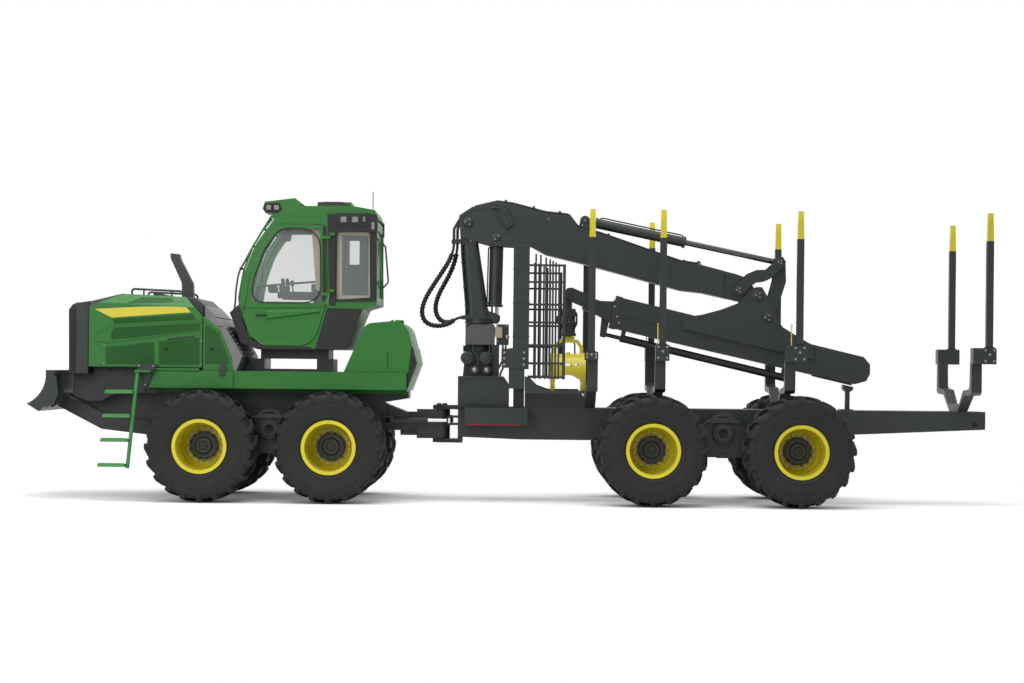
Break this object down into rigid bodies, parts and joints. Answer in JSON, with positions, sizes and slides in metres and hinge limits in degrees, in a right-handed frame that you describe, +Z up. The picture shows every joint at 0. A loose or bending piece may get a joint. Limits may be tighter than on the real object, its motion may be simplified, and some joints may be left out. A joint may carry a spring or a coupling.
{
  "type": "forestry forwarder",
  "caption": "Articulated timber forwarder with bogie wheels, a front blade, a glazed cab, stake bunks and a folded loading crane with a grapple.",
  "frame": {"origin": "on the ground, centre of the bounding box's underside", "axes": "+X to the load end along the machine, +Y to its right-hand side, +Z up"},
  "size_m": [13.02, 3.08, 4.135],
  "materials": {
    "green_paint": "semi-gloss machine enamel",
    "black_paint": "satin black enamel, lightly dusty",
    "grey_paint": "satin grey enamel",
    "dark_steel": "dark weathered paint on steel",
    "yellow_paint": "semi-gloss enamel",
    "chrome": "polished chromed rod",
    "tyre_rubber": "matt moulded rubber",
    "hose_rubber": "matt braided hose cover",
    "window_glass": "clear tinted safety glass",
    "cab_trim": "beige moulded trim and seat",
    "iron": "dull cast iron"
  },
  "bodies": {
    "rear_frame": {"rear_frame": "black_paint", "bogies_rear": "black_paint", "crane_base": "grey_paint", "headboard": "black_paint", "bunks": "black_paint", "stakes": "black_paint"},
    "front_frame": {"front_frame": "black_paint", "bogies_front": "black_paint", "engine": "iron", "sills": "green_paint", "nose": "dark_steel", "cowl": "grey_paint", "tank": "green_paint", "cab_shell": "green_paint", "cab_base": "black_paint", "cab_roof": "green_paint", "cab_glass": "window_glass", "seat": "cab_trim"},
    "hood": {"hood": "green_paint", "exhaust": "dark_steel"},
    "cab_door": {"cab_door": "green_paint", "door_glass": "window_glass"},
    "blade": {"blade": "black_paint"},
    "ladder": {"ladder": "green_paint"},
    "column": {"column": "black_paint", "crane_hose_outer": "hose_rubber", "crane_hose_inner": "hose_rubber"},
    "main_boom": {"main_boom": "black_paint"},
    "lift_barrel": {"lift_barrel": "black_paint"},
    "lift_rod": {"lift_rod": "chrome"},
    "fold_barrel": {"fold_barrel": "black_paint"},
    "fold_rod": {"fold_rod": "chrome"},
    "knee_rocker": {"knee_rocker": "black_paint"},
    "knee_link": {"knee_link": "black_paint"},
    "jib": {"jib": "black_paint"},
    "sliding_beam": {"sliding_beam": "black_paint"},
    "tip_link": {"tip_link": "black_paint"},
    "grapple": {"grapple_head": "yellow_paint"},
    "jaw_left": {"jaw_left": "yellow_paint"},
    "jaw_right": {"jaw_right": "yellow_paint"},
    "steer_barrel_left": {"steer_barrel_left": "black_paint"},
    "steer_barrel_right": {"steer_barrel_right": "black_paint"},
    "steer_rod_left": {"steer_rod_left": "chrome"},
    "steer_rod_right": {"steer_rod_right": "chrome"},
    "wheel_front_left_1": {"tyre_front_left_1": "tyre_rubber", "rim_front_left_1": "yellow_paint"},
    "wheel_front_right_1": {"tyre_front_right_1": "tyre_rubber", "rim_front_right_1": "yellow_paint"},
    "wheel_front_left_2": {"tyre_front_left_2": "tyre_rubber", "rim_front_left_2": "yellow_paint"},
    "wheel_front_right_2": {"tyre_front_right_2": "tyre_rubber", "rim_front_right_2": "yellow_paint"},
    "wheel_rear_left_1": {"tyre_rear_left_1": "tyre_rubber", "rim_rear_left_1": "yellow_paint"},
    "wheel_rear_right_1": {"tyre_rear_right_1": "tyre_rubber", "rim_rear_right_1": "yellow_paint"},
    "wheel_rear_left_2": {"tyre_rear_left_2": "tyre_rubber", "rim_rear_left_2": "yellow_paint"},
    "wheel_rear_right_2": {"tyre_rear_right_2": "tyre_rubber", "rim_rear_right_2": "yellow_paint"}
  },
  "joints": [
    {"name": "steer", "type": "hinge", "parent": "rear_frame", "child": "front_frame", "pos_m": [-0.99, 0, 1.05], "axis": [0, 0, 1], "range_deg": [-44, 44]},
    {"name": "wheel_front_left_1", "type": "hinge", "parent": "front_frame", "child": "wheel_front_left_1", "pos_m": [-4.157, -1.165, 0.75], "axis": [0, 1, 0], "continuous": true},
    {"name": "wheel_front_right_1", "type": "hinge", "parent": "front_frame", "child": "wheel_front_right_1", "pos_m": [-4.157, 1.165, 0.75], "axis": [0, 1, 0], "continuous": true},
    {"name": "wheel_front_left_2", "type": "hinge", "parent": "front_frame", "child": "wheel_front_left_2", "pos_m": [-2.443, -1.165, 0.75], "axis": [0, 1, 0], "continuous": true},
    {"name": "wheel_front_right_2", "type": "hinge", "parent": "front_frame", "child": "wheel_front_right_2", "pos_m": [-2.443, 1.165, 0.75], "axis": [0, 1, 0], "continuous": true},
    {"name": "wheel_rear_left_1", "type": "hinge", "parent": "rear_frame", "child": "wheel_rear_left_1", "pos_m": [1.872, -1.165, 0.75], "axis": [0, 1, 0], "continuous": true},
    {"name": "wheel_rear_right_1", "type": "hinge", "parent": "rear_frame", "child": "wheel_rear_right_1", "pos_m": [1.872, 1.165, 0.75], "axis": [0, 1, 0], "continuous": true},
    {"name": "wheel_rear_left_2", "type": "hinge", "parent": "rear_frame", "child": "wheel_rear_left_2", "pos_m": [3.84, -1.165, 0.75], "axis": [0, 1, 0], "continuous": true},
    {"name": "wheel_rear_right_2", "type": "hinge", "parent": "rear_frame", "child": "wheel_rear_right_2", "pos_m": [3.84, 1.165, 0.75], "axis": [0, 1, 0], "continuous": true},
    {"name": "hood_open", "type": "hinge", "parent": "front_frame", "child": "hood", "pos_m": [-4.86, 1.012, 1.78], "axis": [-1, 0, 0], "range_deg": [0, 60]},
    {"name": "door_open", "type": "hinge", "parent": "front_frame", "child": "cab_door", "pos_m": [-2.505, -0.808, 2.83], "axis": [0, 0, 1], "range_deg": [0, 85]},
    {"name": "blade_lower", "type": "hinge", "parent": "front_frame", "child": "blade", "pos_m": [-5, 0, 0.95], "axis": [0, -1, 0], "range_deg": [0, 50]},
    {"name": "ladder_swing", "type": "hinge", "parent": "front_frame", "child": "ladder", "pos_m": [-5.0233, -1.25, 1.74], "axis": [0.097, 0, 0.9953], "range_deg": [0, 90]},
    {"name": "slew", "type": "hinge", "parent": "rear_frame", "child": "column", "pos_m": [-0.48, 0, 2.44], "axis": [0, 0, 1], "range_deg": [-13, 13]},
    {"name": "boom_lift", "type": "hinge", "parent": "column", "child": "main_boom", "pos_m": [-0.649, 0, 3.85], "axis": [0, -1, 0], "range_deg": [0, 80]},
    {"name": "lift_barrel_swing", "type": "hinge", "parent": "main_boom", "child": "lift_barrel", "pos_m": [-0.25, 0, 3.64], "axis": [0, -1, 0], "range_deg": [-77.4, 1]},
    {"name": "lift_rod_stroke", "type": "slide", "parent": "lift_barrel", "child": "lift_rod", "axis": [-0.0177, 0, -0.9998], "range_m": [-0.002, 0.575]},
    {"name": "jib_fold", "type": "hinge", "parent": "main_boom", "child": "jib", "pos_m": [3.38, 0, 2.875], "axis": [0, -1, 0], "range_deg": [0, 44.5]},
    {"name": "fold_barrel_swing", "type": "hinge", "parent": "main_boom", "child": "fold_barrel", "pos_m": [0.973, 0, 3.89], "axis": [0, -1, 0], "range_deg": [-0.5, 3.38]},
    {"name": "fold_rod_stroke", "type": "slide", "parent": "fold_barrel", "child": "fold_rod", "axis": [0.9796, 0, -0.2007], "range_m": [-0.21276, 0.002]},
    {"name": "knee_rocker_swing", "type": "hinge", "parent": "main_boom", "child": "knee_rocker", "pos_m": [3.105, 0, 2.945], "axis": [0, -1, 0], "range_deg": [-0.5, 21.28]},
    {"name": "knee_link_swing", "type": "hinge", "parent": "knee_rocker", "child": "knee_link", "pos_m": [3.672, 0, 3.337], "axis": [0, -1, 0], "range_deg": [-0.5, 4.97]},
    {"name": "beam_reach", "type": "slide", "parent": "jib", "child": "sliding_beam", "axis": [-0.9744, 0, 0.225], "range_m": [-0.001, 1.001]},
    {"name": "tip_swing", "type": "hinge", "parent": "sliding_beam", "child": "tip_link", "pos_m": [0.77, 0, 2.885], "axis": [0, -1, 0], "range_deg": [-124.5, 0.5]},
    {"name": "rotator", "type": "hinge", "parent": "tip_link", "child": "grapple", "pos_m": [0.76, 0, 2.4], "axis": [0, 0, 1], "continuous": true},
    {"name": "jaw_open", "type": "hinge", "parent": "grapple", "child": "jaw_left", "pos_m": [0.76, -0.15, 1.98], "axis": [-1, 0, 0], "range_deg": [0, 60]},
    {"name": "jaw_follow", "type": "hinge", "parent": "grapple", "child": "jaw_right", "pos_m": [0.76, 0.15, 1.98], "axis": [1, 0, 0], "range_deg": [0, 60]},
    {"name": "steer_barrel_swing_left", "type": "hinge", "parent": "front_frame", "child": "steer_barrel_left", "pos_m": [-1.67, -0.365, 1.1], "axis": [0, 0, 1], "range_deg": [-4, 4]},
    {"name": "steer_rod_stroke_left", "type": "slide", "parent": "steer_barrel_left", "child": "steer_rod_left", "axis": [0.9913, 0.1318, 0], "range_m": [-0.195, 0.195]},
    {"name": "steer_barrel_swing_right", "type": "hinge", "parent": "front_frame", "child": "steer_barrel_right", "pos_m": [-1.67, 0.365, 1.1], "axis": [0, 0, 1], "range_deg": [-4, 4]},
    {"name": "steer_rod_stroke_right", "type": "slide", "parent": "steer_barrel_right", "child": "steer_rod_right", "axis": [0.9913, -0.1318, 0], "range_m": [-0.195, 0.195]}
  ],
  "couplings": [
    {"joint": "lift_barrel_swing", "follows": "boom_lift", "ratio": -0.955},
    {"joint": "lift_rod_stroke", "follows": "boom_lift", "m_per_rad": 0.4078},
    {"joint": "jib_fold", "follows": "boom_lift", "ratio": 0.55},
    {"joint": "fold_barrel_swing", "follows": "boom_lift", "ratio": 0.036025},
    {"joint": "fold_rod_stroke", "follows": "boom_lift", "m_per_rad": -0.15095},
    {"joint": "knee_rocker_swing", "follows": "boom_lift", "ratio": 0.25977},
    {"joint": "knee_link_swing", "follows": "boom_lift", "ratio": 0.055825},
    {"joint": "beam_reach", "follows": "boom_lift", "m_per_rad": 0.7162},
    {"joint": "tip_swing", "follows": "boom_lift", "ratio": -1.55},
    {"joint": "jaw_follow", "follows": "jaw_open", "ratio": 1},
    {"joint": "steer_barrel_swing_left", "follows": "steer", "ratio": -0.059},
    {"joint": "steer_rod_stroke_left", "follows": "steer", "m_per_rad": -0.25096},
    {"joint": "steer_barrel_swing_right", "follows": "steer", "ratio": -0.059},
    {"joint": "steer_rod_stroke_right", "follows": "steer", "m_per_rad": 0.25096}
  ]
}
